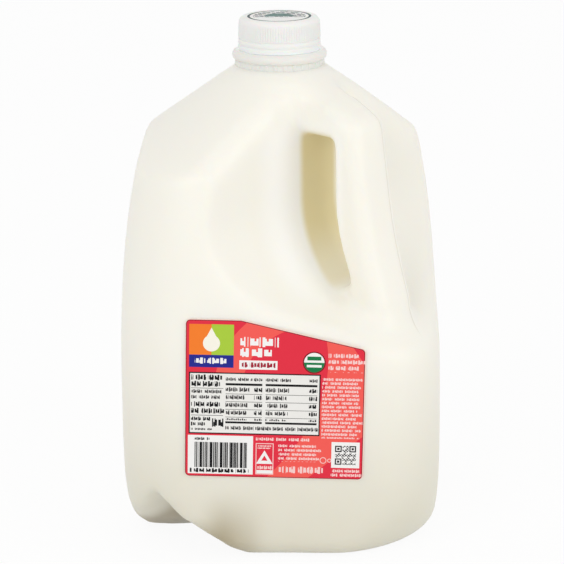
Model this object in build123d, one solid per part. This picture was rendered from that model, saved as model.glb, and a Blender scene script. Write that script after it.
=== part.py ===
# Plastic milk jug of one US gallon, shut with its screw cap and carrying its front label.
# Z is up, the jug stands on z = 0 with the neck's axis on Z, the label faces -Y,
# and the handle is at the corner between +X and -Y. All sizes are in millimetres.
import math
import os

from build123d import *

# How closely a place picks out an edge, and how far a cutter stands past what it cuts.
near = 0.5
touching = 0.01
past = 1.0

# Body: a square with large round corners that narrows towards the shoulder.
belly_half_width = 77.4
belly_height = 58.9
corner_radius = 34.4
heel_height = 35.4
heel_inset = 2.2
base_corner_radius = 66.0
heel_radius = 12.5
heel_sections = 3
side_sections = 4
column_rise = 18.0

# Shoulder: a cone from the neck down to the body.
shoulder_top_height = 226.8
shoulder_rise = 32.4
shoulder_inset = 10.8
shoulder_slope = 35.0
shoulder_round = 9.8

# Neck, with the ring at its foot, the flange the cap shuts down on, and the finish in the cap.
finish_radius = 18.0
neck_wall = 3.4
step_overhang = 1.8
step_height = 0.8
shoulder_collar = 3.2
flange_overhang = 1.7
flange_thickness = 4.8
flange_rise = 7.2
flange_round = 1.5
tooth_count = 30
tooth_width = 1.6
tooth_depth = 0.9

# Screw cap.
cap_height = 15.9
cap_side_wall = 2.05
cap_top_wall = 1.5
cap_taper = 0.6
cap_edge_round = 3.0
cap_clearance = 0.15
cap_seat_gap = 0.5
cap_flange_gap = 0.1
rib_count = 96
rib_depth = 0.35
band_height = 5.4
band_groove_width = 0.7
band_groove_depth = 0.5

# Handle and the space for the hand, drawn in the upright plane through the handle's corner.
# Reach is the distance from the neck's axis along that plane, and an inset is a distance
# inside the body's corner in it.
hand_gap = 21.3
floor_reach = 58.9
floor_height = 120.6
floor_slope = 23.5
floor_round = 53.0
recess_edge_round = 12.0
handle_width = 26.5
handle_thickness = 20.0
handle_knee_thickness = 13.5
handle_foot_thickness = 18.4
handle_outer_round = 7.5
handle_inner_round = 6.0
handle_foot_round = 7.0
arm_slope = 24.0
arm_root_reach = 28.5
arm_start_reach = 17.0
arm_lead = 3.0
arm_thickness = 15.8
knee_inset = 33.9
knee_round = 8.0
inner_knee_round = 2.5
spine_lean = 0.17
spine_middle_inset = 22.9
spine_middle_share = 0.375
spine_foot_inset = 11.7
spine_foot_depth = 10.6
spine_end_inset = 10.7
spine_end_depth = 26.3

# Underside: a shallow dished middle, and an arched notch under each corner beside the handle's,
# its middle shifted from the corner towards the handle.
dish_radius = 45.2
dish_depth = 2.9
notch_height = 35.0
notch_half_width = 54.0
notch_shift = 7.0
notch_waist_height = 14.0
notch_waist_near = 11.0
notch_waist_far = 30.0
notch_depth_below = 1.5
notch_inner_scale = 0.15
notch_inner_inset = 60.0
notch_outer_scale = 1.3
notch_outer_overhang = 13.0

# Label: a sticker with a slanted top right edge, stuck on a little askew.
label_left = -44.4
label_right = 40.7
label_bottom = 43.2
label_top = 121.4
label_slant_start = -18.2
label_right_top = 108.4
label_turn = 1.5
label_corner = 2.5
label_thickness = 0.35
label_gap = 0.15

# Places that follow from the sizes above.
shoulder_height = shoulder_top_height - shoulder_rise
column_top = shoulder_top_height + column_rise
neck_radius = finish_radius + neck_wall
step_radius = neck_radius + step_overhang
shoulder_top_radius = neck_radius + shoulder_collar
flange_radius = neck_radius + flange_overhang
flange_height = shoulder_top_height + flange_rise
cap_low = flange_height + flange_thickness / 2 + cap_flange_gap
cap_top = cap_low + cap_height
cap_radius = finish_radius + cap_clearance + cap_side_wall
cap_top_radius = cap_radius - cap_taper
corner_reach = belly_half_width * math.sqrt(2) - corner_radius * (math.sqrt(2) - 1)
knee_reach = corner_reach - knee_inset
inner_knee_reach = knee_reach - handle_knee_thickness
wall_reach = inner_knee_reach - hand_gap
spine_middle_reach = corner_reach - spine_middle_inset
spine_foot_reach = corner_reach - spine_foot_inset
spine_end_reach = corner_reach - spine_end_inset
spine_foot_height = floor_height - spine_foot_depth
spine_end_height = floor_height - spine_end_depth
far = 2 * belly_half_width
slope_rise = math.tan(math.radians(shoulder_slope))
reach_axis = (1, -1, 0)
handle_plane = Plane(origin=(0, 0, 0), x_dir=reach_axis, z_dir=(-1, -1, 0))


def half_width(height):
    """Half the body's width at a height, without the label's thickness."""
    if height >= belly_height:
        share = (height - belly_height) / (shoulder_height - belly_height)
        return belly_half_width - shoulder_inset * share**3
    share = (belly_height - height) / belly_height
    return belly_half_width - heel_inset * share**2


def body_corner(height):
    """The plan radius of the body's corners, which grows towards the base."""
    if height >= heel_height:
        return corner_radius
    share = 1 - height / heel_height
    return corner_radius + (base_corner_radius - corner_radius) * share**2


def cone_height(reach):
    """The height of the shoulder's cone at a distance from the axis."""
    return shoulder_top_height - slope_rise * (reach - shoulder_top_radius)


def make_column(extra=0.0):
    """The body's rounded square column, grown outwards by a small extra."""
    side_height = shoulder_height - belly_height
    heights = [heel_height * step / heel_sections for step in range(heel_sections + 1)]
    heights += [belly_height + side_height * step / side_sections for step in range(side_sections + 1)]
    heights += [(shoulder_height + column_top) / 2, column_top]
    sections = []
    for height in heights:
        side = 2 * (half_width(height) + extra)
        radius = body_corner(height) + extra
        sections.append(Plane.XY.offset(height) * RectangleRounded(side, side, radius))
    return loft(sections)


def make_shoulder_cone():
    """Everything under the shoulder's cone, wide enough to hold the body."""
    outline = Polyline(
        (0, -past),
        (far, -past),
        (far, cone_height(far)),
        (shoulder_top_radius, shoulder_top_height),
        (0, shoulder_top_height),
        close=True,
    )
    return revolve(Plane.XZ * make_face(outline), Axis.Z)


def on_shoulder(edge):
    """True for the edges where the body's sides meet the shoulder's cone."""
    middle = edge @ 0.5
    reach = math.hypot(middle.X, middle.Y)
    below_neck = reach > shoulder_top_radius + shoulder_round / 2
    return below_neck and abs(middle.Z - cone_height(reach)) < near


def make_body():
    body = make_column() & make_shoulder_cone()
    body = fillet(body.edges().filter_by(on_shoulder), shoulder_round)
    foot = body.edges().filter_by(lambda edge: edge.bounding_box().max.Z < touching)
    return fillet(foot, heel_radius)


def make_recess():
    """The space cut away beside the handle, the same all the way across the corner."""
    fall = math.tan(math.radians(floor_slope))
    corner = (wall_reach, floor_height + fall * (floor_reach - wall_reach))
    end = (far, floor_height - fall * (far - floor_reach))
    outline = FilletPolyline((wall_reach, column_top), corner, end, radius=floor_round)
    closing = Polyline(end, (far, column_top), (wall_reach, column_top))
    return extrude(handle_plane * make_face([outline, closing]), far, both=True)


def reach_of(point):
    return (point.X - point.Y) / math.sqrt(2)


def across_of(point):
    return (point.X + point.Y) / math.sqrt(2)


def arm_top(reach):
    """The height of the arm's upper side, which leaves the shoulder's cone near the neck."""
    return cone_height(arm_root_reach) - math.tan(math.radians(arm_slope)) * (reach - arm_root_reach)


hand_space_top = arm_top(inner_knee_reach) - arm_thickness


def is_across_handle_at(edge, reach, height):
    """True for an edge that runs straight across the handle at a place in its plane."""
    middle = edge @ 0.5
    at_place = abs(reach_of(middle) - reach) < near and abs(middle.Z - height) < near
    return at_place and abs(across_of(middle)) < near


def on_handle_side(edge):
    """True for the long edges of the handle's two flat sides, away from its buried ends."""
    middle = edge @ 0.5
    on_side = abs(abs(across_of(middle)) - handle_width / 2) < touching
    clear_of_root = reach_of(middle) > arm_start_reach + arm_lead
    return on_side and clear_of_root and middle.Z > spine_end_height + arm_lead


def on_palm_side(edge):
    """True for those side edges that bound the hand's space."""
    middle = edge @ 0.5
    reach = reach_of(middle)
    under_arm = middle.Z < hand_space_top + near and reach < inner_knee_reach + near
    beside_grip = middle.Z < hand_space_top and reach < spine_middle_reach - handle_thickness / 2
    return on_handle_side(edge) and (under_arm or beside_grip)


def make_handle():
    """The grip and the arm that joins it to the shoulder, with every long edge rounded."""
    inner_knee = (inner_knee_reach, hand_space_top)
    knee = (knee_reach, arm_top(knee_reach))
    spine_middle_height = spine_foot_height + spine_middle_share * (knee[1] - spine_foot_height)
    spine = [
        knee,
        (spine_middle_reach, spine_middle_height),
        (spine_foot_reach, spine_foot_height),
        (spine_end_reach, spine_end_height),
    ]
    palm = [
        (spine_end_reach - handle_foot_thickness, spine_end_height),
        (spine_foot_reach - handle_foot_thickness, spine_foot_height),
        (spine_middle_reach - handle_thickness, spine_middle_height),
        inner_knee,
    ]
    arm = Polyline(
        inner_knee,
        (arm_start_reach, hand_space_top),
        (arm_start_reach, arm_top(arm_start_reach) - handle_outer_round),
        (arm_root_reach - arm_lead, arm_top(arm_root_reach - arm_lead)),
        knee,
    )
    down = (spine_lean, -1)
    back = Spline(spine, tangents=[down, (0, -1)])
    front = Spline(palm, tangents=[(0, 1), (0, 1)])
    profile = make_face([back, Line(spine[-1], palm[0]), front, arm])
    grip = extrude(handle_plane.offset(-handle_width / 2) * profile, handle_width)
    knees = grip.edges().filter_by(lambda edge: is_across_handle_at(edge, *knee))
    grip = fillet(knees, knee_round)
    inner_knees = grip.edges().filter_by(lambda edge: is_across_handle_at(edge, *inner_knee))
    grip = fillet(inner_knees, inner_knee_round)
    outer = grip.edges().filter_by(lambda edge: on_handle_side(edge) and not on_palm_side(edge))
    grip = fillet(outer, handle_outer_round)
    return fillet(grip.edges().filter_by(on_palm_side), handle_inner_round)


def make_notch(side):
    """One arched notch under a corner; side is -1 at the front left and 1 at the back right."""
    sections = []
    stations = (
        (corner_reach - notch_inner_inset, notch_inner_scale),
        (corner_reach + notch_outer_overhang, notch_outer_scale),
    )
    for distance, scale in stations:
        place = side * distance / math.sqrt(2)
        plane = Plane(origin=(place, place, 0), x_dir=reach_axis, z_dir=(-1, -1, 0))
        flank = [
            (0, notch_height * scale),
            (notch_waist_near * scale, notch_waist_height * scale),
            (notch_waist_far * scale, notch_waist_height * scale),
            (notch_half_width * scale, -notch_depth_below),
        ]
        near_flank = [(notch_shift + across, height) for across, height in flank]
        far_flank = [(notch_shift - across, height) for across, height in reversed(flank)]
        foot = Line(near_flank[-1], far_flank[0])
        sections.append(plane * make_face([Bezier(*near_flank), foot, Bezier(*far_flank)]))
    return loft(sections)


def make_dish():
    """The shallow hollow in the middle of the underside."""
    outline = Polyline(
        (0, -past),
        (dish_radius + past, -past),
        (dish_radius, 0),
        (dish_radius - 2 * dish_depth, dish_depth),
        (0, dish_depth),
        close=True,
    )
    return revolve(Plane.XZ * make_face(outline), Axis.Z)


def on_recess(edge):
    """True for the outer edges of the space cut away beside the handle."""
    middle = edge @ 0.5
    outside = middle.Z > spine_end_height and reach_of(middle) > wall_reach - touching
    across_cut = edge.geom_type == GeomType.LINE and abs(across_of(middle)) < near
    return outside and not across_cut


def on_handle_foot(edge):
    """True for the edges where the grip grows out of the floor of its space."""
    middle = edge @ 0.5
    near_grip = abs(across_of(middle)) < handle_width / 2 + near
    near_floor = (spine_end_height + spine_foot_height) / 2 < middle.Z < floor_height + handle_foot_round
    outside_wall = reach_of(middle) > inner_knee_reach + handle_foot_round
    at_side = abs(across_of(middle)) > handle_width / 2 - near
    grip_side = at_side and edge.geom_type == GeomType.LINE and edge.length > handle_foot_round
    across_cut = abs(across_of(middle)) < near and edge.length > handle_width + near
    return near_grip and near_floor and outside_wall and not grip_side and not across_cut


def is_flange_rim(edge):
    return edge.geom_type == GeomType.CIRCLE and abs(edge.radius - flange_radius) < touching


def make_neck():
    """The neck with the ring at its foot, its flange, and the finish that the cap covers."""
    finish_top = cap_top - cap_top_wall - cap_seat_gap
    neck_foot = shoulder_top_height - flange_rise
    flange_low = flange_height - flange_thickness / 2
    flange_high = flange_height + flange_thickness / 2
    outline = Polyline(
        (0, neck_foot),
        (shoulder_top_radius - past, neck_foot),
        (step_radius, shoulder_top_height),
        (step_radius, shoulder_top_height + step_height),
        (neck_radius, shoulder_top_height + step_height),
        (neck_radius, flange_low),
        (flange_radius, flange_low),
        (flange_radius, flange_high),
        (finish_radius, flange_high),
        (finish_radius, finish_top),
        (0, finish_top),
        close=True,
    )
    neck = revolve(Plane.XZ * make_face(outline), Axis.Z)
    rims = neck.edges().filter_by(is_flange_rim)
    return fillet(rims, flange_round)


def make_teeth():
    """The ratchet teeth round the neck under the flange."""
    low = shoulder_top_height + step_height
    height = flange_height - flange_thickness / 2 - low
    depth = tooth_depth + past
    tooth = Box(depth, tooth_width, height, align=(Align.MIN, Align.CENTER, Align.MIN))
    places = PolarLocations(neck_radius - past, tooth_count)
    return [Pos(0, 0, low) * place * tooth for place in places]


def make_jug():
    body = make_body() - make_recess() - make_dish()
    body = fillet(body.edges().filter_by(on_recess), recess_edge_round)
    body = body - make_notch(-1) - make_notch(1)
    jug = body + make_handle()
    jug = fillet(jug.edges().filter_by(on_handle_foot), handle_foot_round)
    return jug + make_neck() + make_teeth()


def make_cap():
    """The shut screw cap: ribbed grip above, a plain tamper band with two grooves below."""
    low = cap_low
    band_top = low + band_height
    groove = band_groove_width
    taper = (cap_radius - cap_top_radius) / cap_height
    outline = [(0, low), (cap_radius, low)]
    for middle in (low + band_height / 2, band_top):
        side = cap_radius - taper * (middle - low)
        outline += [
            (side, middle - groove / 2),
            (side - band_groove_depth, middle - groove / 2),
            (side - band_groove_depth, middle + groove / 2),
            (side, middle + groove / 2),
        ]
    outline += [(cap_top_radius, cap_top), (0, cap_top)]
    cap = revolve(Plane.XZ * make_face(Polyline(outline, close=True)), Axis.Z)
    rim = cap.edges().filter_by(lambda edge: edge.bounding_box().min.Z > cap_top - touching)
    cap = fillet(rim, cap_edge_round)
    ribs_low = band_top + groove
    ribs_radius = cap_radius - taper * (ribs_low - low)
    ring = []
    for step in range(2 * rib_count):
        reach = ribs_radius + (rib_depth if step % 2 else -rib_depth)
        angle = math.pi * step / rib_count
        ring.append((reach * math.cos(angle), reach * math.sin(angle)))
    ribs_face = Pos(0, 0, ribs_low) * make_face(Polyline(ring, close=True))
    ribs = extrude(ribs_face, cap_height, taper=math.degrees(math.atan(taper)))
    plain = Pos(0, 0, low) * Cylinder(
        cap_radius + past, ribs_low - low, align=(Align.CENTER, Align.CENTER, Align.MIN)
    )
    cap = cap & (ribs + plain)
    hollow_height = cap_height - cap_top_wall
    hollow = Cylinder(
        finish_radius + cap_clearance, hollow_height, align=(Align.CENTER, Align.CENTER, Align.MIN)
    )
    return cap - Pos(0, 0, low) * hollow


def make_label():
    """The front sticker: a thin skin over the body, cut to the label's outline."""
    outline = make_face(
        Polyline(
            (label_left, label_bottom),
            (label_right, label_bottom),
            (label_right, label_right_top),
            (label_slant_start, label_top),
            (label_left, label_top),
            close=True,
        )
    )
    outline = fillet(outline.vertices(), label_corner)
    middle = Pos((label_left + label_right) / 2, (label_bottom + label_top) / 2)
    outline = middle * Rot(0, 0, -label_turn) * middle.inverse() * outline
    reach = belly_half_width + label_gap + label_thickness + past
    cutter = extrude(Plane.XZ * outline, reach)
    return (make_column(label_gap + label_thickness) & cutter) - make_column(label_gap)


if __name__ == "__main__":
    os.makedirs("parts", exist_ok=True)
    export_step(make_jug(), "parts/jug.step")
    export_step(make_cap(), "parts/cap.step")
    export_step(make_label(), "parts/label.step")
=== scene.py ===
"""Looks of a one-gallon milk jug: its soft moulded skin, neck, screw cap, front label and stage."""

import math

import bmesh
import bpy
from mathutils import Matrix, Vector


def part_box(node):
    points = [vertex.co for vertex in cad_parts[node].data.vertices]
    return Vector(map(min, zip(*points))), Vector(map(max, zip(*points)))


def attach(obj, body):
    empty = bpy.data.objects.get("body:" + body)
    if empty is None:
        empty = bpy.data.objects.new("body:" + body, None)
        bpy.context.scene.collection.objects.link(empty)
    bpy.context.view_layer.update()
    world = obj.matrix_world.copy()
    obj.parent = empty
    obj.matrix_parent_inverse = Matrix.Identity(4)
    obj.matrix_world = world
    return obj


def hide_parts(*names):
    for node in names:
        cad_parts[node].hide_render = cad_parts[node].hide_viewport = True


bl_info = {
    "name": "Milk Jug Looks",
    "version": (1, 0, 0),
    "blender": (4, 5, 0),
    "location": "View3D > Sidebar > Milk Jug",
    "description": "Models and finishes a plastic milk jug round its fixed frame",
    "category": "Object",
}

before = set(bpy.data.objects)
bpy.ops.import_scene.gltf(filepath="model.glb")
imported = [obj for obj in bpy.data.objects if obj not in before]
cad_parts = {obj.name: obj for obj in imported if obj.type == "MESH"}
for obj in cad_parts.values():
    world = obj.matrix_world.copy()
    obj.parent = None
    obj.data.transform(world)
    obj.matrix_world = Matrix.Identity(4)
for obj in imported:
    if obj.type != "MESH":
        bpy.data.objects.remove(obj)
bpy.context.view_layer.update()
MM = 0.001
ROOT = "root"
CAP_LOW, CAP_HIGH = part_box("cap")
LABEL_LOW, LABEL_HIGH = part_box("label")
# The cap shuts down on the neck's flange, so the neck is set out downwards from the cap's
# lower edge, and the shoulder's cone starts at the neck's foot.
NECK_HEIGHT = 9.7 * MM
SHOULDER_TOP = CAP_LOW.z - NECK_HEIGHT
SHOULDER_RADIUS = 24.6 * MM
SHOULDER_SLOPE = math.tan(math.radians(35))


# ---------------------------------------------------------------- sizes and colours


def length(name, description, default, **options):
    return bpy.props.FloatProperty(
        name=name, description=description, default=default, unit="LENGTH", precision=4, **options
    )


def colour(name, description, default):
    return bpy.props.FloatVectorProperty(
        name=name, description=description, default=default, size=4, subtype="COLOR", min=0, max=1
    )


class MILKJUG_PG_skin(bpy.types.PropertyGroup):
    """Sizes and colours of the bottle's moulded skin."""

    grid: length("Grid", "Edge length of the skin's even mesh", 1.45 * MM)
    overall_passes: bpy.props.IntProperty(
        name="Overall softening",
        description="Smoothing passes over the whole skin",
        default=8,
        min=0,
    )
    neck_cut: length("Neck cut", "How far above the shoulder's top the skin ends", 0.3 * MM)
    milk: colour("Milk", "Colour of the plastic with milk behind it", (0.93, 0.905, 0.825, 1))
    # Painted shade: the colour the skin darkens to towards the base.
    painted_heel_shade: colour("Heel", "Colour towards the base, where milk is greyer", (0.74, 0.715, 0.60, 1))
    # Painted shade: the tan between the grip and the body.
    painted_gap_shade: colour("Hollow", "Colour deep between the grip and the body", (0.78, 0.68, 0.385, 1))
    # Painted shade inside the base's notches; the handle's seam line is tinted with it too.
    notch: colour("Notch", "Colour inside the notches at the base", (0.46, 0.40, 0.27, 1))
    # Painted light: a paler colour beside the gap between the grip and the body.
    painted_recess_light: colour("Recess", "Colour beside the hollow", (0.995, 0.985, 0.94, 1))


class MILKJUG_PG_neck(bpy.types.PropertyGroup):
    """Sizes of the neck below the cap."""

    radius: length("Radius", "Radius of the neck under its flange", 21.4 * MM)
    flange_radius: length("Flange radius", "Radius of the rounded flange under the cap", 23.1 * MM)
    flange_thickness: length("Flange thickness", "Height of the flange", 4.8 * MM)
    teeth: bpy.props.IntProperty(
        name="Teeth", description="Ratchet teeth round the neck", default=30, min=3
    )
    tooth_depth: length("Tooth depth", "How far the teeth stand out", 0.35 * MM)


class MILKJUG_PG_cap(bpy.types.PropertyGroup):
    """Sizes and colours of the screw cap."""

    ribs: bpy.props.IntProperty(
        name="Ribs", description="Grip ribs round the cap", default=96, min=3
    )
    rib_depth: length("Rib depth", "Depth of the grooves between the ribs", 0.35 * MM)
    top_round: length("Top round", "Radius of the rounded top edge", 3.0 * MM)
    band_height: length("Band height", "Height of the tamper band", 5.4 * MM)
    plastic: colour("Plastic", "Colour of the translucent cap", (0.87, 0.865, 0.84, 1))
    ring_radius: length("Ring radius", "Radius of the printed ring on the top", 14.9 * MM)
    ink: colour("Ink", "Colour of the print on the cap's top", (0.012, 0.045, 0.042, 1))


class MILKJUG_PG_label(bpy.types.PropertyGroup):
    """Colours of the label's print."""

    turn: bpy.props.FloatProperty(
        name="Turn",
        description="How far askew the label is stuck on",
        default=math.radians(1.5),
        subtype="ANGLE",
    )
    width: length("Width", "Width of the label", 85.1 * MM)
    height: length("Height", "Height of the label", 78.2 * MM)
    corner: length("Corner", "Radius of the label's corners", 2.5 * MM)
    slant_start: length("Slant start", "Where the slanted edge starts, from the left", 26.2 * MM)
    slant_drop: length("Slant drop", "How far the slanted edge falls to the right", 13.0 * MM)
    red: colour("Red", "Main field", (0.76, 0.030, 0.058, 1))
    coral: colour("Coral", "Curved second fields", (0.90, 0.110, 0.092, 1))
    border: colour("Border", "Pale cut edge", (0.93, 0.70, 0.62, 1))
    line: colour("Line", "Thin line inside the edge and round the seal", (0.22, 0.006, 0.014, 1))
    paper: colour("Paper", "Pale panels", (0.84, 0.83, 0.80, 1))
    black: colour("Black", "Rules and bars", (0.006, 0.006, 0.007, 1))
    grey: colour("Grey", "Small print on the panels", (0.055, 0.052, 0.052, 1))
    pale: colour("Pale", "Small print on the red", (0.93, 0.62, 0.60, 1))
    blue: colour("Blue", "Band of the block at the upper left", (0.016, 0.022, 0.26, 1))
    orange: colour("Orange", "Left field of the block at the upper left", (0.90, 0.21, 0.025, 1))
    lime: colour("Lime", "Right field of the block at the upper left", (0.40, 0.60, 0.05, 1))
    green: colour("Green", "Lower half of the round seal", (0.006, 0.19, 0.06, 1))


class MILKJUG_PG_stage(bpy.types.PropertyGroup):
    """The camera and lamps."""

    distance: length("Distance", "Camera's distance from the neck's axis, over the ground", 1.208)
    height: length("Height", "Camera's height", 0.4635)
    aim: length("Aim", "Height the camera looks at", 0.1183)
    swing: bpy.props.FloatProperty(
        name="Swing",
        description="Camera's turn towards the handle",
        default=math.radians(1.5),
        subtype="ANGLE",
    )
    roll: bpy.props.FloatProperty(
        name="Roll", description="Camera's roll", default=math.radians(-0.6), subtype="ANGLE"
    )
    lens: bpy.props.FloatProperty(
        name="Lens", description="Focal length", default=160.9, subtype="DISTANCE_CAMERA"
    )
    ambient: bpy.props.FloatProperty(
        name="Ambient", description="Strength of the even light all round", default=0.74, min=0
    )
    key: bpy.props.FloatProperty(
        name="Key", description="Power of the lamp at the left", default=6.5, subtype="POWER"
    )
    fill: bpy.props.FloatProperty(
        name="Fill", description="Power of the lamp at the right", default=4.8, subtype="POWER"
    )


# ---------------------------------------------------------------- shader maths


class Number:
    """A number in a material's node tree: an expression on it adds Math nodes."""

    def __init__(self, material, socket):
        self.material = material
        self.socket = socket

    def math(self, operation, *inputs):
        values = [self.material.plain(value) for value in inputs]
        node = self.material.node("ShaderNodeMath", {"operation": operation}, *values)
        return Number(self.material, node.outputs[0])

    def __add__(self, other):
        return self.math("ADD", self, other)

    __radd__ = __add__

    def __sub__(self, other):
        return self.math("SUBTRACT", self, other)

    def __rsub__(self, other):
        return self.math("SUBTRACT", other, self)

    def __mul__(self, other):
        return self.math("MULTIPLY", self, other)

    __rmul__ = __mul__

    def __truediv__(self, other):
        return self.math("DIVIDE", self, other)

    def __rtruediv__(self, other):
        return self.math("DIVIDE", other, self)

    def __abs__(self):
        return self.math("ABSOLUTE", self)

    def __pow__(self, other):
        return self.math("POWER", self, other)

    def __lt__(self, other):
        return self.math("LESS_THAN", self, other)

    def __gt__(self, other):
        return self.math("GREATER_THAN", self, other)

    def near(self, middle, reach):
        """One where the number is within reach of middle."""
        return self.math("COMPARE", self, middle, reach)

    def sine(self):
        return self.math("SINE", self)

    def whole(self):
        return self.math("FLOOR", self)

    def within(self, step):
        """The remainder after whole steps, always from 0 to step."""
        return self.math("FLOORED_MODULO", self, step)

    def limit(self):
        """The number kept from 0 to 1."""
        return self.math("MINIMUM", self.math("MAXIMUM", self, 0), 1)

    def rise(self, low, high):
        """A soft step: 0 below low, 1 above high."""
        share = ((self - low) / (high - low)).limit()
        return share * share * (3 - 2 * share)

    def fall(self, low, high):
        """A soft step down: 1 below low, 0 above high."""
        return 1 - self.rise(low, high)

    def between(self, start, full, fade, end):
        """A soft band: 0 below start, 1 from full to fade, 0 above end."""
        return self.rise(start, full) * self.fall(fade, end)


class Finish:
    """A material under construction."""

    def __init__(self, name):
        self.material = bpy.data.materials.new(name)
        self.material.use_nodes = True
        self.tree = self.material.node_tree
        self.shader = self.tree.nodes["Principled BSDF"]
        self.output = self.tree.nodes["Material Output"]

    @staticmethod
    def plain(value):
        return value.socket if isinstance(value, Number) else value

    def node(self, kind, settings=None, *inputs, **named):
        """Adds a node, sets its settings, then its inputs by order or by name."""
        node = self.tree.nodes.new(kind)
        for key, value in (settings or {}).items():
            setattr(node, key, value)
        for index, value in list(enumerate(inputs)) + list(named.items()):
            self.put(node.inputs[index], value)
        return node

    def put(self, socket, value):
        value = self.plain(value)
        if isinstance(value, bpy.types.NodeSocket):
            self.tree.links.new(value, socket)
        elif value is not None:
            socket.default_value = value

    def place(self):
        """The x, y and z of a point on the piece, in metres."""
        source = self.node("ShaderNodeTexCoord").outputs["Object"]
        split = self.node("ShaderNodeSeparateXYZ", None, source)
        return [Number(self, socket) for socket in split.outputs]

    def noise(self, scale, detail=2.0):
        """Soft mottling from 0 to 1. Scale is in cells a metre."""
        source = self.node("ShaderNodeTexCoord").outputs["Object"]
        texture = self.node(
            "ShaderNodeTexNoise", None, source, Scale=scale, Detail=detail, Roughness=0.5
        )
        return Number(self, texture.outputs["Fac"])

    def blend(self, share, first, second):
        """A colour between two."""
        node = self.tree.nodes.new("ShaderNodeMix")
        node.data_type = "RGBA"
        self.put(node.inputs["Factor"], share)
        self.put([s for s in node.inputs if s.name == "A" and s.type == "RGBA"][0], first)
        self.put([s for s in node.inputs if s.name == "B" and s.type == "RGBA"][0], second)
        return [s for s in node.outputs if s.type == "RGBA"][0]

    def bump(self, height, distance):
        node = self.node("ShaderNodeBump", None, Height=height, Distance=distance, Strength=1.0)
        self.put(self.shader.inputs["Normal"], node.outputs[0])

    def set(self, **values):
        for name, value in values.items():
            self.put(self.shader.inputs[name.replace("_", " ")], value)


# ---------------------------------------------------------------- mesh helpers


def finish_piece(name, bm, material, slot, *nodes):
    """Makes the piece's object, gives it its finish and fixes it to the frame."""
    mesh = bpy.data.meshes.new(name)
    bm.to_mesh(mesh)
    bm.free()
    for polygon in mesh.polygons:
        polygon.use_smooth = True
    piece = bpy.data.objects.new(name, mesh)
    bpy.context.scene.collection.objects.link(piece)
    mesh.materials.append(material)
    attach(piece, ROOT)
    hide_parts(*nodes)
    return piece


def spun(profile, steps):
    """A full turn of a profile of (radius, height) points round the neck's axis."""
    bm = bmesh.new()
    verts = [bm.verts.new((radius, 0, height)) for radius, height in profile]
    edges = [bm.edges.new(pair) for pair in zip(verts, verts[1:])]
    bmesh.ops.spin(
        bm,
        geom=verts + edges,
        cent=(0, 0, 0),
        axis=(0, 0, 1),
        angle=2 * math.pi,
        steps=steps,
        use_merge=True,
    )
    bmesh.ops.remove_doubles(bm, verts=bm.verts, dist=1e-6)
    bmesh.ops.recalc_face_normals(bm, faces=bm.faces)
    return bm


def arc(centre, radius, start, end, steps=6):
    """Points of an arc in a profile, with angles in degrees from the outward direction."""
    points = []
    for step in range(steps + 1):
        angle = math.radians(start + (end - start) * step / steps)
        points.append((centre[0] + radius * math.cos(angle), centre[1] + radius * math.sin(angle)))
    return points


def reach_of(point):
    """Distance from the neck's axis towards the handle's corner."""
    return (point.x - point.y) / math.sqrt(2)


def across_of(point):
    """Distance to the side of the handle's plane."""
    return (point.x + point.y) / math.sqrt(2)


# ---------------------------------------------------------------- bottle skin

# Where the moulded plastic flows from one form into the next: reach from and to, the most
# across, height from and to, all in millimetres, and the smoothing passes there.
SOFT_ZONES = (
    ("arm into shoulder", 12, 42, 27, 203, 224, 45),
    ("grip into body", 50, 100, 25, 92, 124, 45),
    ("arm's knee", 52, 66, 27, 190, 214, 10),
)
# The same for the two corners with notches: the least across, the most height and the passes.
NOTCH_ZONES = (("notch", 40, 52, 10), ("foot", 60, 30, 25), ("toe", 69, 20, 40))
LAST_PASSES = 3


def in_zone(point, zone):
    _, near, far, side, low, high, _ = zone
    reach = reach_of(point) / MM
    across = abs(across_of(point)) / MM
    return near < reach < far and across < side and low < point.z / MM < high


def in_notch(point, zone):
    _, near, high, _ = zone
    return abs(across_of(point)) > near * MM and point.z < high * MM


def cone_height(radius):
    """The height of the shoulder's cone at a distance from the neck's axis."""
    return SHOULDER_TOP - SHOULDER_SLOPE * (radius - SHOULDER_RADIUS)


def add_neck_foot(bm, neck_radius):
    """Adds a closed flare that leads the shoulder's cone up into the neck."""
    sweep, lift = 4.8 * MM, 4.6 * MM
    wide, sunk, depth = 31 * MM, 0.6 * MM, 9 * MM
    centre = (neck_radius + sweep, SHOULDER_TOP + lift)
    profile = [(0, SHOULDER_TOP - depth), (wide, cone_height(wide) - sunk)]
    profile += arc(centre, sweep, 235, 205, 6)
    profile.append((0, profile[-1][1]))
    flare = spun(profile, 96)
    mesh = bpy.data.meshes.new("flare")
    flare.to_mesh(mesh)
    flare.free()
    bm.from_mesh(mesh)
    bpy.data.meshes.remove(mesh)


def soften(bm, verts, passes):
    for _ in range(passes):
        bmesh.ops.smooth_vert(
            bm, verts=verts, factor=0.5, use_axis_x=True, use_axis_y=True, use_axis_z=True
        )


def even_mesh(bm, grid):
    """The same closed shape with an even mesh, as a new bmesh."""
    mesh = bpy.data.meshes.new("even")
    bm.to_mesh(mesh)
    bm.free()
    holder = bpy.data.objects.new("even", mesh)
    bpy.context.scene.collection.objects.link(holder)
    remesh = holder.modifiers.new("even", "REMESH")
    remesh.mode = "VOXEL"
    remesh.voxel_size = grid
    depsgraph = bpy.context.evaluated_depsgraph_get()
    result = bpy.data.meshes.new_from_object(holder.evaluated_get(depsgraph))
    even = bmesh.new()
    even.from_mesh(result)
    bpy.data.objects.remove(holder)
    bpy.data.meshes.remove(mesh)
    bpy.data.meshes.remove(result)
    return even


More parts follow.
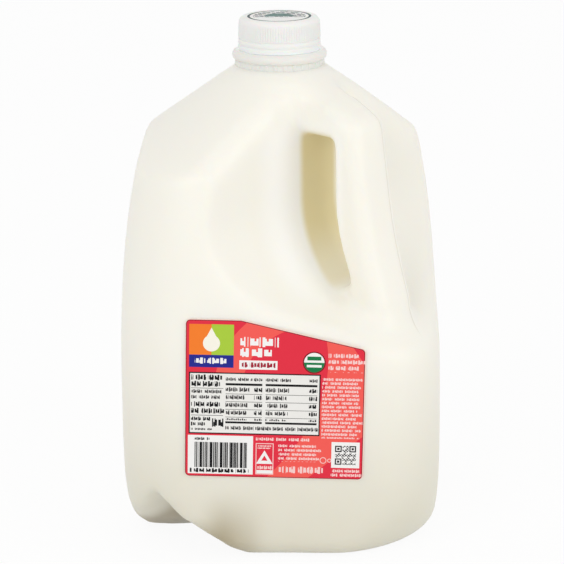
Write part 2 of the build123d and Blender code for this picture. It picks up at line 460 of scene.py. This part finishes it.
def milk_plastic(sizes):
    """Milky plastic, creamy and soft, with painted shade towards the base, between the grip and the
    body and in the notches, and painted light beside the gap.
    """
    finish = Finish("milk_plastic")
    x, y, z = finish.place()
    reach = (x - y) / math.sqrt(2)
    side = (x + y) / math.sqrt(2)
    across = abs(side)
    # Each band below runs from its start to full, then from fade to its end, in metres.
    # Painted shade: darker towards the base, with random mottling.
    painted_heel_shade = z.fall(0.0, 0.120) * (0.75 + 0.25 * finish.noise(22.0, 3.0))
    # Painted shade between the grip and the body: tan, paler towards its bottom.
    depth = 0.55 + 0.41 * z.rise(0.128, 0.158)
    painted_gap_shade = across.fall(0.0088, 0.0142) * reach.between(0.020, 0.025, 0.046, 0.053)
    painted_gap_shade = painted_gap_shade * z.between(0.124, 0.131, 0.198, 0.206) * depth
    # Painted light beside the gap, lifting the shade on the recess wall.
    painted_light_beside_gap = across.fall(0.025, 0.045) * reach.between(0.005, 0.025, 0.050, 0.060)
    painted_light_beside_gap = painted_light_beside_gap * z.between(0.115, 0.140, 0.195, 0.215)
    # The mould's parting line runs down the outside of the handle, a little to one side.
    outer = ((reach > 0.075 - 0.225 * (z - 0.12)) + (z > 0.204)).limit()
    seam = abs(side - 0.008).fall(0.0001, 0.0006) * outer
    seam = seam * reach.rise(0.028, 0.038) * z.rise(0.106, 0.114)
    # Painted shade inside the notches at the base.
    notch = abs(reach).fall(0.030, 0.055) * across.between(0.052, 0.064, 0.072, 0.084)
    notch = notch * z.fall(0.010, 0.040)
    body = finish.blend(painted_heel_shade, tuple(sizes.milk), tuple(sizes.painted_heel_shade))
    body = finish.blend(painted_light_beside_gap, body, tuple(sizes.painted_recess_light))
    body = finish.blend(seam * 0.3, body, tuple(sizes.notch))
    body = finish.blend(notch * 0.95, body, tuple(sizes.notch))
    finish.set(
        Base_Color=finish.blend(painted_gap_shade, body, tuple(sizes.painted_gap_shade)),
        Roughness=0.36 + 0.10 * finish.noise(60.0, 2.0),
        Subsurface_Weight=0.22,
        Subsurface_Radius=(1.0, 0.75, 0.45),
        Subsurface_Scale=0.010,
        IOR=1.5,
        Specular_IOR_Level=0.35,
    )
    ripple = finish.noise(28.0, 1.0) * 0.8 + finish.noise(420.0, 2.0) * 0.05
    finish.bump(ripple, 0.0006)
    return finish.material


class MILKJUG_OT_skin(bpy.types.Operator):
    """Make the bottle's moulded skin with its handle"""

    bl_idname = "milkjug.skin"
    bl_label = "Bottle skin"

    def execute(self, context):
        sizes = context.scene.milkjug_skin
        bm = bmesh.new()
        bm.from_mesh(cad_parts["jug"].data)
        bmesh.ops.remove_doubles(bm, verts=bm.verts, dist=1e-6)
        bmesh.ops.bisect_plane(
            bm,
            geom=bm.verts[:] + bm.edges[:] + bm.faces[:],
            dist=1e-7,
            plane_co=(0, 0, SHOULDER_TOP + sizes.neck_cut),
            plane_no=(0, 0, 1),
            clear_outer=True,
        )
        bmesh.ops.holes_fill(bm, edges=[edge for edge in bm.edges if edge.is_boundary], sides=0)
        if any(edge.is_boundary for edge in bm.edges):
            raise RuntimeError("the bottle's skin isn't closed at the neck")
        add_neck_foot(bm, context.scene.milkjug_neck.radius)
        bm = even_mesh(bm, sizes.grid)
        soften(bm, bm.verts[:], sizes.overall_passes)
        for zone in SOFT_ZONES:
            soften(bm, [vert for vert in bm.verts if in_zone(vert.co, zone)], zone[-1])
        for zone in NOTCH_ZONES:
            soften(bm, [vert for vert in bm.verts if in_notch(vert.co, zone)], zone[-1])
        soften(bm, bm.verts[:], LAST_PASSES)
        finish_piece("bottle_skin", bm, milk_plastic(sizes), "jug_plastic", "jug")
        return {"FINISHED"}


# ---------------------------------------------------------------- neck


class MILKJUG_OT_neck(bpy.types.Operator):
    """Make the neck with its flared foot, ratchet teeth and rounded flange"""

    bl_idname = "milkjug.neck"
    bl_label = "Neck"

    def execute(self, context):
        sizes = context.scene.milkjug_neck
        gap, foot, plain = 0.1 * MM, 1.2 * MM, 2.4 * MM
        inner, inner_height = 18.0 * MM, 6.0 * MM
        tooth_share, columns = 0.34, 6
        flange_high = CAP_LOW.z - gap
        half = sizes.flange_thickness / 2
        middle = flange_high - half
        flat = sizes.flange_radius - half
        low = SHOULDER_TOP + foot
        tooth_low = SHOULDER_TOP + plain
        tooth_high = middle - half + gap
        inner_high = flange_high + inner_height
        profile = [(0, low)]
        profile += [(sizes.radius, height) for height in (low, tooth_low, tooth_high)]
        profile += arc((flat, middle), half, -65, 90, 14)
        profile += [(inner, flange_high), (inner, inner_high), (0, inner_high)]
        bm = spun(profile, sizes.teeth * columns)
        teeth = []
        for face in bm.faces:
            centre = face.calc_center_median()
            turn = math.atan2(centre.y, centre.x) / (2 * math.pi) * sizes.teeth
            outside = abs(math.hypot(centre.x, centre.y) - sizes.radius) < gap
            if outside and tooth_low < centre.z < tooth_high and turn % 1 < tooth_share:
                teeth.append(face)
        raised = bmesh.ops.extrude_face_region(bm, geom=teeth)["geom"]
        for vert in [item for item in raised if isinstance(item, bmesh.types.BMVert)]:
            ring = math.hypot(vert.co.x, vert.co.y)
            vert.co.xy = vert.co.xy * (ring + sizes.tooth_depth) / ring
        bmesh.ops.delete(bm, geom=teeth, context="FACES_ONLY")
        bmesh.ops.recalc_face_normals(bm, faces=bm.faces)
        finish = Finish("neck_plastic")
        x, y, z = finish.place()
        ring = (x * x + y * y) ** 0.5
        pale = finish.blend(finish.noise(90.0), (0.80, 0.795, 0.76, 1), (0.84, 0.83, 0.78, 1))
        # Painted light: the flange paler just under the cap's edge, where the corner is in shade.
        painted_light_under_cap = (1 - ring.rise(0.0204, 0.0216)) * z.rise(middle, flange_high)
        finish.set(
            Base_Color=finish.blend(painted_light_under_cap, pale, (0.98, 0.98, 0.95, 1)),
            Roughness=0.30 + 0.1 * finish.noise(120.0),
            Subsurface_Weight=0.2,
            Subsurface_Scale=0.005,
        )
        finish.bump(finish.noise(260.0), 0.0003)
        piece = finish_piece("neck", bm, finish.material, "jug_plastic", "jug")
        bevel = piece.modifiers.new("soft edges", "BEVEL")
        bevel.width = 0.18 * MM
        bevel.segments = 2
        bevel.limit_method = "ANGLE"
        bevel.angle_limit = math.radians(40)
        return {"FINISHED"}


# ---------------------------------------------------------------- cap


def cap_profile(sizes):
    """The cap's outline from its lower edge to the middle of its top, with rib rows marked."""
    low, high = CAP_LOW.z, CAP_HIGH.z
    wide = CAP_HIGH.x
    taper = 0.6 * MM / (high - low)
    bore, edge, past = 18.2 * MM, 0.25 * MM, 0.2 * MM
    groove, lip, depth = 0.35 * MM, 0.12 * MM, 0.3 * MM
    points = [(bore, low), (wide - edge, low), (wide, low + edge)]
    for middle in (low + sizes.band_height / 2, low + sizes.band_height):
        side = wide - taper * (middle - low)
        points += [
            (side, middle - groove - past),
            (side - lip, middle - groove),
            (side - depth, middle - groove * 0.6),
            (side - depth, middle + groove * 0.6),
            (side - lip, middle + groove),
            (side, middle + groove + past),
        ]
    rib_low = low + sizes.band_height + 0.9 * MM
    rib_high = high - sizes.top_round
    rows = 4
    for step in range(rows + 1):
        height = rib_low + (rib_high - rib_low) * step / rows
        points.append((wide - taper * (height - low), height))
    side = points[-1][0]
    under, dish, margin = 0.02 * MM, 0.2 * MM, 0.1 * MM
    inner = side - sizes.top_round
    points += arc((inner, rib_high), sizes.top_round - under, 8, 90, 9)
    points += [
        (inner - 0.4 * MM, high - under),
        (inner - 0.7 * MM, high - dish + under),
        (inner - 1.3 * MM, high - dish),
        (inner * 0.5, high - dish),
        (0.0, high - dish),
    ]
    return points, rib_low - margin, rib_high + sizes.top_round * 0.55


class MILKJUG_OT_cap(bpy.types.Operator):
    """Make the ribbed screw cap with its tamper band and the print on its top"""

    bl_idname = "milkjug.cap"
    bl_label = "Cap"

    def execute(self, context):
        sizes = context.scene.milkjug_cap
        profile, rib_low, rib_high = cap_profile(sizes)
        columns, top_reach, fade_height = 4, 15 * MM, 2.2 * MM
        bm = spun(profile, sizes.ribs * columns)
        for vert in bm.verts:
            ring = math.hypot(vert.co.x, vert.co.y)
            turn = math.atan2(vert.co.y, vert.co.x) / (2 * math.pi) * sizes.ribs * columns
            in_groove = round(turn) % columns == 0
            if rib_low < vert.co.z < rib_high and in_groove and ring > top_reach:
                fade = min(1.0, (rib_high - vert.co.z) / fade_height)
                vert.co.xy = vert.co.xy * (ring - sizes.rib_depth * fade) / ring
        finish = Finish("cap_plastic")
        x, y, z = finish.place()
        ring = (x * x + y * y) ** 0.5
        top = z.rise(CAP_HIGH.z - 0.0012, CAP_HIGH.z - 0.0006)
        line = ring.near(sizes.ring_radius, 0.00062) * top
        dashes = (x * 900.0 + (y * 700.0).whole() * 2.3).sine() > -0.25
        rows = y.within(0.0026).near(0.0013, 0.00105)
        words = rows * dashes * (ring < 0.0128) * (y > -0.0035) * top
        centre = (ring < 0.0070) * (y > -0.0010) * top
        # Painted light: the cap paler at its lower edge, where it meets the flange in shade.
        edge = 1 - z.rise(CAP_LOW.z, CAP_LOW.z + 0.0016)
        pale, painted_edge_light = (0.90, 0.905, 0.89, 1), (0.98, 0.98, 0.97, 1)
        haze = finish.blend(finish.noise(70.0, 3.0) * 0.5, tuple(sizes.plastic), pale)
        haze = finish.blend(edge, haze, painted_edge_light)
        inked = finish.blend((line + words).limit(), haze, tuple(sizes.ink))
        inked = finish.blend(centre * 0.9, inked, (0.010, 0.12, 0.10, 1))
        finish.set(
            Base_Color=inked,
            Roughness=0.30 + 0.12 * finish.noise(150.0),
            Subsurface_Weight=0.25,
            Subsurface_Scale=0.004,
            IOR=1.3,
            Specular_IOR_Level=0.2,
        )
        finish.bump(finish.noise(300.0) * 0.4, 0.0002)
        finish_piece("screw_cap", bm, finish.material, "cap_plastic", "cap")
        return {"FINISHED"}


# ---------------------------------------------------------------- label


class Print:
    """The label's print, set out in millimetres from its upper left corner."""

    def __init__(self, finish, sizes):
        self.finish = finish
        self.sizes = sizes
        x, _, z = finish.place()
        middle = (LABEL_LOW + LABEL_HIGH) / 2
        turn_x, turn_z = math.cos(sizes.turn), math.sin(sizes.turn)
        across, along = x - middle.x, z - middle.z
        self.right = (across * turn_x - along * turn_z + sizes.width / 2) / MM
        self.down = (sizes.height / 2 - along * turn_x - across * turn_z) / MM
        self.ink = tuple(sizes.red)

    def span(self, left, right):
        return self.right.near((left + right) / 2, (right - left) / 2)

    def drop(self, top, bottom):
        return self.down.near((top + bottom) / 2, (bottom - top) / 2)

    def box(self, left, top, right, bottom):
        return self.span(left, right) * self.drop(top, bottom)

    def disc(self, right, down, radius):
        sideways = self.right - right
        along = self.down - down
        return sideways * sideways + along * along < radius * radius

    def inside(self, inset):
        """One further than inset inside the label's outline, with its round corners."""
        wide, high = self.sizes.width / MM, self.sizes.height / MM
        start, drop = self.sizes.slant_start / MM, self.sizes.slant_drop / MM
        slope = drop / (wide - start)
        under_slant = self.down > (self.right - start) * slope + inset
        share = self.box(inset, inset, wide - inset, high - inset) * under_slant
        corner = self.sizes.corner / MM
        low_right = drop - slope * corner + corner * math.hypot(1, slope)
        corners = (
            (corner, corner, -1, -1),
            (corner, high - corner, -1, 1),
            (wide - corner, high - corner, 1, 1),
            (wide - corner, low_right, 1, -1),
        )
        for right, down, sideways, along in corners:
            past = ((self.right - right) * sideways > 0) * ((self.down - down) * along > 0)
            share = share * (1 - past * (1 - self.disc(right, down, corner - inset)))
        return share

    def rows(self, left, top, right, bottom, pitch, share, phase=0.0, stroke=0.8):
        """Lines of print as broken bars of upright strokes, share of their pitch thick."""
        line = ((self.down - top) / pitch).whole()
        middle = pitch * share / 2
        height = (self.down - top).within(pitch) - middle
        shift = line * 2.7 + phase
        word = (self.right * 0.95 + shift).sine() + 0.7 * (self.right * 2.2 + shift * 1.9).sine()
        tall = 0.72 + 0.28 * ((self.right * 2.6 / stroke + shift * 3.1).sine() > 0.2)
        strokes = (self.right * (2 * math.pi / stroke) + shift).sine() > -0.55
        bowed = (self.right * 3.3 / stroke + shift).sine() > 0.1
        curl = height.near(middle * 0.35, middle * 0.5) * bowed
        bars = abs(height) < middle * tall
        ragged = self.right < right - 3.0 * abs((line * 1.7 + phase).sine())
        letters = bars * (strokes + curl).limit() * (word > -1.15)
        return letters * ragged * self.box(left, top, right, bottom)

    def lay(self, mask, ink):
        self.ink = self.finish.blend(mask, self.ink, tuple(ink))


WHITE = (0.90, 0.895, 0.88, 1)


def lay_fields(sheet, sizes):
    """Curved coral fields on the red, and the label's pale rim."""
    band = sheet.disc(60.0, 36.0, 46.5) * (1 - sheet.disc(60.0, 36.0, 33.5))
    sheet.lay(band * sheet.span(12.0, 47.0) * (sheet.down < 30.0), sizes.coral)
    bow = sheet.down - 20.0
    left = 67.5 - 0.0085 * bow * bow
    right = 152.0 - 1.2 * sheet.down
    sheet.lay((sheet.right > left) * (sheet.right < right), sizes.coral)
    sheet.lay(sheet.right > 79.7 + 0.67 * (sheet.down - 13.0), sizes.red)
    sheet.lay(1 - sheet.inside(0.70), sizes.line)
    sheet.lay(1 - sheet.inside(0.32), sizes.border)


def lay_block(sheet, sizes):
    """Block at the upper left: a plain drop on two fields over a blue band."""
    sheet.lay(sheet.box(1.9, 2.4, 12.4, 17.3), sizes.orange)
    sheet.lay(sheet.box(12.4, 2.4, 22.9, 17.3), sizes.lime)
    sheet.lay(sheet.box(1.9, 17.3, 22.9, 23.4), sizes.blue)
    narrowing = abs(sheet.right - 12.4) < (sheet.down - 4.0) * 0.52
    drop = sheet.disc(12.4, 11.6, 4.0) + narrowing * sheet.box(7.0, 4.0, 18.0, 9.6)
    sheet.lay(drop.limit(), (0.93, 0.90, 0.78, 1))
    sheet.lay(sheet.rows(3.6, 18.7, 22.0, 21.7, 3.0, 0.98, 1.0, 1.9), WHITE)


def lay_title(sheet, sizes):
    """Two rows of broad strokes over a white strip, and the round seal beside them."""
    sheet.lay(sheet.rows(26.0, 8.2, 46.5, 13.0, 4.9, 0.96, 2.2, 2.9), WHITE)
    sheet.lay(sheet.rows(26.0, 13.6, 42.0, 18.0, 4.5, 0.96, 0.4, 2.9), WHITE)
    sheet.lay(sheet.box(25.6, 19.6, 43.6, 24.0), WHITE)
    sheet.lay(sheet.rows(26.8, 20.5, 45.0, 23.1, 2.6, 1.0, 0.9, 1.5), (0.36, 0.02, 0.04, 1))
    sheet.lay(sheet.disc(60.9, 20.0, 5.4), sizes.line)
    sheet.lay(sheet.disc(60.9, 20.0, 4.8), WHITE)
    sheet.lay(sheet.disc(60.9, 20.0, 4.8) * (sheet.down > 20.0), sizes.green)
    sheet.lay(sheet.box(57.6, 17.0, 64.2, 18.9), sizes.green)
    sheet.lay(sheet.box(57.4, 21.1, 64.4, 22.3), WHITE)
    sheet.lay(sheet.rows(67.6, 15.4, 85.0, 24.6, 3.0, 0.68, 1.4, 1.25), sizes.pale)
    sheet.lay(sheet.rows(64.9, 27.4, 84.5, 57.5, 1.95, 0.70, 0.2, 0.8), sizes.pale)


def lay_panel(sheet, sizes):
    """Panel with an outline, three columns, heavy and thin rules."""
    black, grey = sizes.black, sizes.grey
    sheet.lay(sheet.box(1.9, 25.8, 64.1, 56.4), black)
    sheet.lay(sheet.box(2.5, 26.4, 63.5, 55.8), sizes.paper)
    sheet.lay(sheet.rows(3.0, 27.0, 19.0, 33.2, 3.2, 0.86, 0.5, 1.3), black)
    sheet.lay(sheet.box(3.0, 33.6, 18.2, 33.85), grey)
    sheet.lay(sheet.rows(3.0, 34.4, 19.2, 40.0, 2.8, 0.66, 2.5, 0.9), grey)
    sheet.lay(sheet.rows(3.0, 40.4, 19.4, 46.8, 3.3, 0.78, 1.2, 1.1), black)
    sheet.lay(sheet.box(3.0, 47.1, 18.2, 47.35), grey)
    sheet.lay(sheet.rows(3.0, 48.0, 12.6, 52.8, 2.6, 0.74, 3.0, 1.0), black)
    tall = sheet.rows(13.0, 48.7, 22.0, 52.9, 4.2, 1.0, 0.2, 1.8)
    sheet.lay(tall * sheet.span(13.0, 18.4), black)
    sheet.lay(sheet.rows(3.0, 53.6, 15.0, 54.8, 1.2, 0.9, 0.7, 0.7), grey)
    for left, right in ((19.3, 36.6), (38.2, 62.6)):
        sheet.lay(sheet.rows(left, 28.2, left + 13.5, 30.0, 1.8, 0.92, 0.3, 0.9), grey)
        heading = sheet.rows(left, 28.2, right + 3, 30.0, 1.8, 0.92, 2.0, 0.8)
        sheet.lay(heading * sheet.span(right - 4, right), grey)
        sheet.lay(sheet.box(left, 31.0, right, 32.1), black)
        sheet.lay(sheet.rows(left, 33.0, left + 12.5, 49.4, 3.85, 0.56, left, 1.0), grey)
        figures = sheet.rows(left, 33.0, right + 3.0, 49.4, 3.85, 0.56, 1.0, 1.1)
        sheet.lay(figures * sheet.span(right - 3.8, right), black)
        thin = (sheet.down - 36.2).within(3.85).near(0.12, 0.12)
        sheet.lay(thin * sheet.box(left, 35.8, right, 48.6), grey)
        sheet.lay(sheet.box(left, 50.0, right, 51.0), black)
    sheet.lay(sheet.rows(19.3, 52.3, 65.5, 54.6, 2.3, 0.84, 4.0, 0.95), grey)


def lay_codes(sheet, sizes):
    """Upright bars on white, a small panel with a triangle, small print, and a plain chequer."""
    black, grey, pale = sizes.black, sizes.grey, sizes.pale
    sheet.lay(sheet.box(1.6, 57.2, 32.6, 76.6), WHITE)
    bars = (sheet.right * 5.2 + (sheet.right * 1.3).sine() * 2.6).sine() > -0.15
    fine = (sheet.right * 9.1 + (sheet.right * 0.7).sine() * 3.0).sine() > 0.62
    sheet.lay((bars + fine).limit() * sheet.box(4.6, 60.6, 29.8, 73.4), black)
    sheet.lay(sheet.rows(4.8, 58.2, 14.0, 59.8, 1.6, 0.95, 0.8, 0.9), grey)
    sheet.lay(sheet.rows(2.6, 73.8, 33.5, 76.0, 2.3, 0.95, 1.1, 1.5), black)
    sheet.lay(sheet.box(33.9, 60.6, 42.4, 76.4) * (1 - sheet.box(34.3, 61.0, 42.0, 76.0)), pale)
    sheet.lay(sheet.rows(34.8, 61.6, 43.0, 63.8, 1.1, 0.7, 0.6), pale)
    tent = abs(sheet.right - 38.1) < (sheet.down - 64.2) * 0.58
    gap = abs(sheet.right - 38.1) < (sheet.down - 66.8) * 0.58
    sheet.lay(tent * sheet.drop(64.2, 71.0) * (1 - gap * sheet.drop(66.8, 69.4)), WHITE)
    sheet.lay(sheet.rows(34.8, 72.0, 44.0, 73.8, 1.8, 1.0, 0.6, 1.0), pale)
    sheet.lay(sheet.box(34.4, 74.2, 42.0, 75.9), WHITE)
    sheet.lay(sheet.rows(33.9, 57.7, 62.0, 59.7, 2.0, 0.80, 2.0, 1.0), pale)
    sheet.lay(sheet.rows(44.6, 61.0, 65.5, 69.6, 2.1, 0.66, 1.6, 0.8), pale)
    sheet.lay(sheet.rows(45.0, 72.0, 66.5, 76.0, 4.0, 0.86, 3.3, 1.7), pale)
    for right, radius in ((66.0, 1.6), (69.0, 1.0)):
        ringed = sheet.disc(right, 68.6, radius) * (1 - sheet.disc(right, 68.6, radius - 0.35))
        sheet.lay(ringed, pale)
    sheet.lay(sheet.box(69.9, 59.2, 83.3, 72.2), WHITE)
    checks = ((sheet.right * 4.6).sine() * (sheet.down * 4.6).sine()) > -0.12
    dots = ((sheet.right * 2.3 + sheet.down * 1.1).sine() + (sheet.down * 2.7).sine()) > -0.5
    sheet.lay(checks * dots * sheet.box(71.6, 61.0, 81.6, 70.6), black)
    for left, top in ((71.6, 61.0), (78.4, 61.0), (71.6, 67.4)):
        for inset, ink in ((-0.35, WHITE), (0.0, black), (0.6, WHITE), (1.05, black)):
            far = 3.2 - inset
            sheet.lay(sheet.box(left + inset, top + inset, left + far, top + far), ink)
    sheet.lay(sheet.rows(69.8, 73.0, 86.0, 77.0, 2.1, 0.74, 0.9, 0.9), pale)


def label_print(sizes):
    """Red fields with a pale panel of rules and bars, a bar block, a seal and plain shapes."""
    finish = Finish("label_print")
    sheet = Print(finish, sizes)
    for part in (lay_fields, lay_block, lay_title, lay_panel, lay_codes):
        part(sheet, sizes)
    finish.set(
        Base_Color=sheet.ink,
        Roughness=0.46 + 0.08 * finish.noise(240.0),
        Specular_IOR_Level=0.15,
    )
    finish.bump(finish.noise(700.0, 2.0), 0.00004)
    return finish.material


class MILKJUG_OT_label(bpy.types.Operator):
    """Print the label on the front"""

    bl_idname = "milkjug.label"
    bl_label = "Label"

    def execute(self, context):
        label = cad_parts["label"]
        label.data.materials.clear()
        label.data.materials.append(label_print(context.scene.milkjug_label))
        return {"FINISHED"}


# ---------------------------------------------------------------- stage


def lamp(name, power, size, place, aim):
    data = bpy.data.lights.new(name, "AREA")
    data.shape = "DISK"
    data.energy = power
    data.size = size
    light = bpy.data.objects.new(name, data)
    light.location = place
    light.rotation_euler = (Vector(aim) - Vector(place)).to_track_quat("-Z", "Y").to_euler()
    bpy.context.scene.collection.objects.link(light)


def backdrop_share(tree):
    """One for rays that should meet the plain white background."""
    paths = tree.nodes.new("ShaderNodeLightPath")
    share = paths.outputs["Is Camera Ray"]
    for kind in ("Is Glossy Ray", "Is Transmission Ray"):
        either = tree.nodes.new("ShaderNodeMath")
        either.operation = "MAXIMUM"
        tree.links.new(share, either.inputs[0])
        tree.links.new(paths.outputs[kind], either.inputs[1])
        share = either.outputs[0]
    return share


def white_world(ambient):
    world = bpy.data.worlds.new("white_studio")
    world.use_nodes = True
    bpy.context.scene.world = world
    tree = world.node_tree
    tree.nodes.clear()
    output = tree.nodes.new("ShaderNodeOutputWorld")
    mix = tree.nodes.new("ShaderNodeMixShader")
    dim = tree.nodes.new("ShaderNodeBackground")
    dim.inputs["Color"].default_value = (1, 1, 1, 1)
    dim.inputs["Strength"].default_value = ambient
    white = tree.nodes.new("ShaderNodeBackground")
    white.inputs["Color"].default_value = (1, 1, 1, 1)
    white.inputs["Strength"].default_value = 1.0
    tree.links.new(backdrop_share(tree), mix.inputs[0])
    tree.links.new(dim.outputs[0], mix.inputs[1])
    tree.links.new(white.outputs[0], mix.inputs[2])
    tree.links.new(mix.outputs[0], output.inputs["Surface"])


def floor_finish():
    finish = Finish("pale_floor")
    finish.set(Base_Color=(0.90, 0.90, 0.89, 1), Roughness=0.9)
    glow = finish.node("ShaderNodeEmission", None, Color=(1, 1, 1, 1), Strength=1.0)
    mix = finish.tree.nodes.new("ShaderNodeMixShader")
    share = finish.tree.nodes.new("ShaderNodeMath")
    share.operation = "MULTIPLY"
    share.inputs[1].default_value = 0.93
    finish.tree.links.new(backdrop_share(finish.tree), share.inputs[0])
    finish.tree.links.new(share.outputs[0], mix.inputs[0])
    finish.tree.links.new(finish.shader.outputs[0], mix.inputs[1])
    finish.tree.links.new(glow.outputs[0], mix.inputs[2])
    finish.tree.links.new(mix.outputs[0], finish.output.inputs["Surface"])
    return finish.material


class MILKJUG_OT_stage(bpy.types.Operator):
    """Set the floor, light and camera"""

    bl_idname = "milkjug.stage"
    bl_label = "Stage"

    def execute(self, context):
        sizes = context.scene.milkjug_stage
        bm = bmesh.new()
        bmesh.ops.create_grid(bm, x_segments=1, y_segments=1, size=6.0)
        mesh = bpy.data.meshes.new("floor")
        bm.to_mesh(mesh)
        bm.free()
        floor = bpy.data.objects.new("floor", mesh)
        mesh.materials.append(floor_finish())
        context.scene.collection.objects.link(floor)
        white_world(sizes.ambient)
        middle = (0, 0, 0.13)
        lamp("key_lamp", sizes.key, 1.1, (-0.75, -1.35, 1.15), middle)
        lamp("fill_lamp", sizes.fill, 1.0, (1.35, -0.9, 0.75), middle)
        data = bpy.data.cameras.new("camera")
        data.lens = sizes.lens
        data.clip_end = 20
        camera = bpy.data.objects.new("camera", data)
        place = Vector(
            (
                sizes.distance * math.sin(sizes.swing),
                -sizes.distance * math.cos(sizes.swing),
                sizes.height,
            )
        )
        facing = (Vector((0, 0, sizes.aim)) - place).to_track_quat("-Z", "Y")
        turn = Matrix.Rotation(sizes.roll, 4, "Z")
        camera.matrix_world = Matrix.Translation(place) @ facing.to_matrix().to_4x4() @ turn
        context.scene.collection.objects.link(camera)
        context.scene.camera = camera
        context.scene.view_settings.view_transform = "Standard"
        return {"FINISHED"}


# ---------------------------------------------------------------- panel and run


class MILKJUG_PT_panel(bpy.types.Panel):
    """The jug's steps and sizes in the sidebar"""

    bl_label = "Milk Jug"
    bl_idname = "MILKJUG_PT_panel"
    bl_space_type = "VIEW_3D"
    bl_region_type = "UI"
    bl_category = "Milk Jug"

    def draw(self, context):
        layout = self.layout
        for operator in OPERATORS:
            layout.operator(operator.bl_idname)
        for name, group in GROUPS.items():
            box = layout.box()
            box.label(text=group.__doc__)
            values = getattr(context.scene, name)
            for key in group.__annotations__:
                box.prop(values, key)


GROUPS = {
    "milkjug_skin": MILKJUG_PG_skin,
    "milkjug_neck": MILKJUG_PG_neck,
    "milkjug_cap": MILKJUG_PG_cap,
    "milkjug_label": MILKJUG_PG_label,
    "milkjug_stage": MILKJUG_PG_stage,
}
OPERATORS = (
    MILKJUG_OT_stage,
    MILKJUG_OT_skin,
    MILKJUG_OT_neck,
    MILKJUG_OT_cap,
    MILKJUG_OT_label,
)


def register():
    for group in GROUPS.values():
        bpy.utils.register_class(group)
    for kind in OPERATORS + (MILKJUG_PT_panel,):
        bpy.utils.register_class(kind)
    for name, group in GROUPS.items():
        setattr(bpy.types.Scene, name, bpy.props.PointerProperty(type=group))


def unregister():
    for name in GROUPS:
        delattr(bpy.types.Scene, name)
    for kind in (MILKJUG_PT_panel,) + OPERATORS[::-1]:
        bpy.utils.unregister_class(kind)
    for group in GROUPS.values():
        bpy.utils.unregister_class(group)


def main():
    register()
    bpy.ops.milkjug.stage()
    bpy.ops.milkjug.skin()
    bpy.ops.milkjug.neck()
    bpy.ops.milkjug.cap()
    bpy.ops.milkjug.label()


if __name__ == "__main__":
    main()
